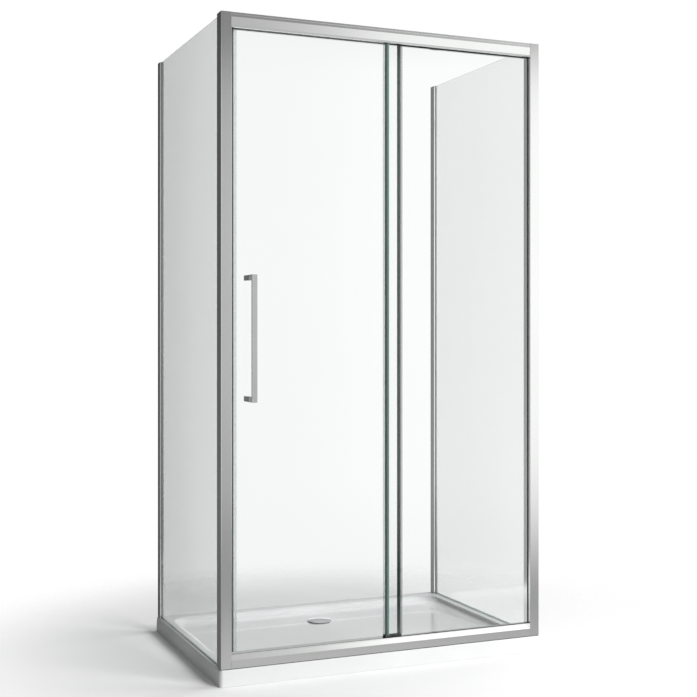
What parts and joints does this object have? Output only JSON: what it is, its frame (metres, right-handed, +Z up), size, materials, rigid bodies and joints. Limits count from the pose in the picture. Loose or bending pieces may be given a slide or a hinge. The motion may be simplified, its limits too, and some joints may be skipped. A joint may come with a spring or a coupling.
{
  "type": "shower enclosure",
  "caption": "Shower enclosure of clear glass on a low white tray, with a framed sliding door at the front, frameless side panes and slim wall profiles.",
  "frame": {"origin": "middle of the tray's underside, on the floor", "axes": "+Z up, +Y towards the wall, +X to the right along the wall as seen from the room"},
  "size_m": [1.1, 0.77, 2],
  "materials": {
    "tray_white": "gloss white",
    "frame_aluminium": "polished silver anodised",
    "pane_glass": "clear, green at the edges",
    "clear_seal": "clear, slightly grey",
    "black_rubber": "matt",
    "black_plastic": "matt",
    "bright_chrome": "polished",
    "stainless_steel": "turned",
    "white_plastic": "moulded"
  },
  "bodies": {
    "enclosure": {"shower_tray": "tray_white", "sill_gasket": "black_rubber", "left_post": "frame_aluminium", "right_post": "frame_aluminium", "left_post_cover": "frame_aluminium", "right_post_cover": "frame_aluminium", "left_post_cap": "frame_aluminium", "right_post_cap": "frame_aluminium", "top_rail": "frame_aluminium", "bottom_rail": "frame_aluminium", "corner_screws": "stainless_steel", "threshold_infill": "frame_aluminium", "fixed_glass": "pane_glass", "fixed_glass_gaskets": "black_rubber", "fixed_edge_seal": "clear_seal", "closing_strike": "clear_seal", "strike_magnet": "black_rubber", "bottom_guide": "black_plastic", "guide_screws": "stainless_steel", "door_stops": "black_rubber", "left_side_glass": "pane_glass", "right_side_glass": "pane_glass", "left_side_gaskets": "black_rubber", "right_side_gaskets": "black_rubber", "left_sill_seal": "clear_seal", "right_sill_seal": "clear_seal", "left_wall_profile": "frame_aluminium", "right_wall_profile": "frame_aluminium", "left_wall_cap": "frame_aluminium", "right_wall_cap": "frame_aluminium", "waste_body": "bright_chrome", "waste_nut": "white_plastic", "waste_seals": "black_rubber"},
    "door": {"door_glass": "pane_glass", "door_edge_seal": "clear_seal", "door_closing_seal": "clear_seal", "door_magnet": "black_rubber", "handle_bar": "bright_chrome", "handle_knobs": "bright_chrome", "handle_studs": "stainless_steel", "handle_bushes": "clear_seal", "left_carriage": "stainless_steel", "right_carriage": "stainless_steel", "hanger_bolts": "stainless_steel", "hanger_bushes": "black_rubber", "hanger_nuts": "stainless_steel"},
    "roller_1": {"roller_tyre_1": "white_plastic", "roller_bearing_1": "stainless_steel"},
    "roller_2": {"roller_tyre_2": "white_plastic", "roller_bearing_2": "stainless_steel"},
    "roller_3": {"roller_tyre_3": "white_plastic", "roller_bearing_3": "stainless_steel"},
    "roller_4": {"roller_tyre_4": "white_plastic", "roller_bearing_4": "stainless_steel"},
    "strainer": {"waste_strainer": "white_plastic"},
    "cover": {"waste_cover": "bright_chrome"}
  },
  "joints": [
    {"name": "door_slide", "type": "slide", "parent": "enclosure", "child": "door", "axis": [1, 0, 0], "range_m": [0, 0.4]},
    {"name": "roller_spin_1", "type": "hinge", "parent": "door", "child": "roller_1", "pos_m": [-0.4289, -0.3382, 1.971], "axis": [0, 1, 0], "continuous": true},
    {"name": "roller_spin_2", "type": "hinge", "parent": "door", "child": "roller_2", "pos_m": [-0.3889, -0.3382, 1.971], "axis": [0, 1, 0], "continuous": true},
    {"name": "roller_spin_3", "type": "hinge", "parent": "door", "child": "roller_3", "pos_m": [-0.058, -0.3382, 1.971], "axis": [0, 1, 0], "continuous": true},
    {"name": "roller_spin_4", "type": "hinge", "parent": "door", "child": "roller_4", "pos_m": [-0.018, -0.3382, 1.971], "axis": [0, 1, 0], "continuous": true},
    {"name": "waste_strainer_lift", "type": "slide", "parent": "enclosure", "child": "strainer", "axis": [0, 0, 1], "range_m": [0, 0.05]},
    {"name": "waste_cover_lift", "type": "slide", "parent": "strainer", "child": "cover", "axis": [0, 0, 1], "range_m": [0, 0.05]}
  ],
  "couplings": [
    {"joint": "roller_spin_1", "follows": "door_slide", "rad_per_m": 100},
    {"joint": "roller_spin_2", "follows": "door_slide", "rad_per_m": 100},
    {"joint": "roller_spin_3", "follows": "door_slide", "rad_per_m": 100},
    {"joint": "roller_spin_4", "follows": "door_slide", "rad_per_m": 100}
  ]
}
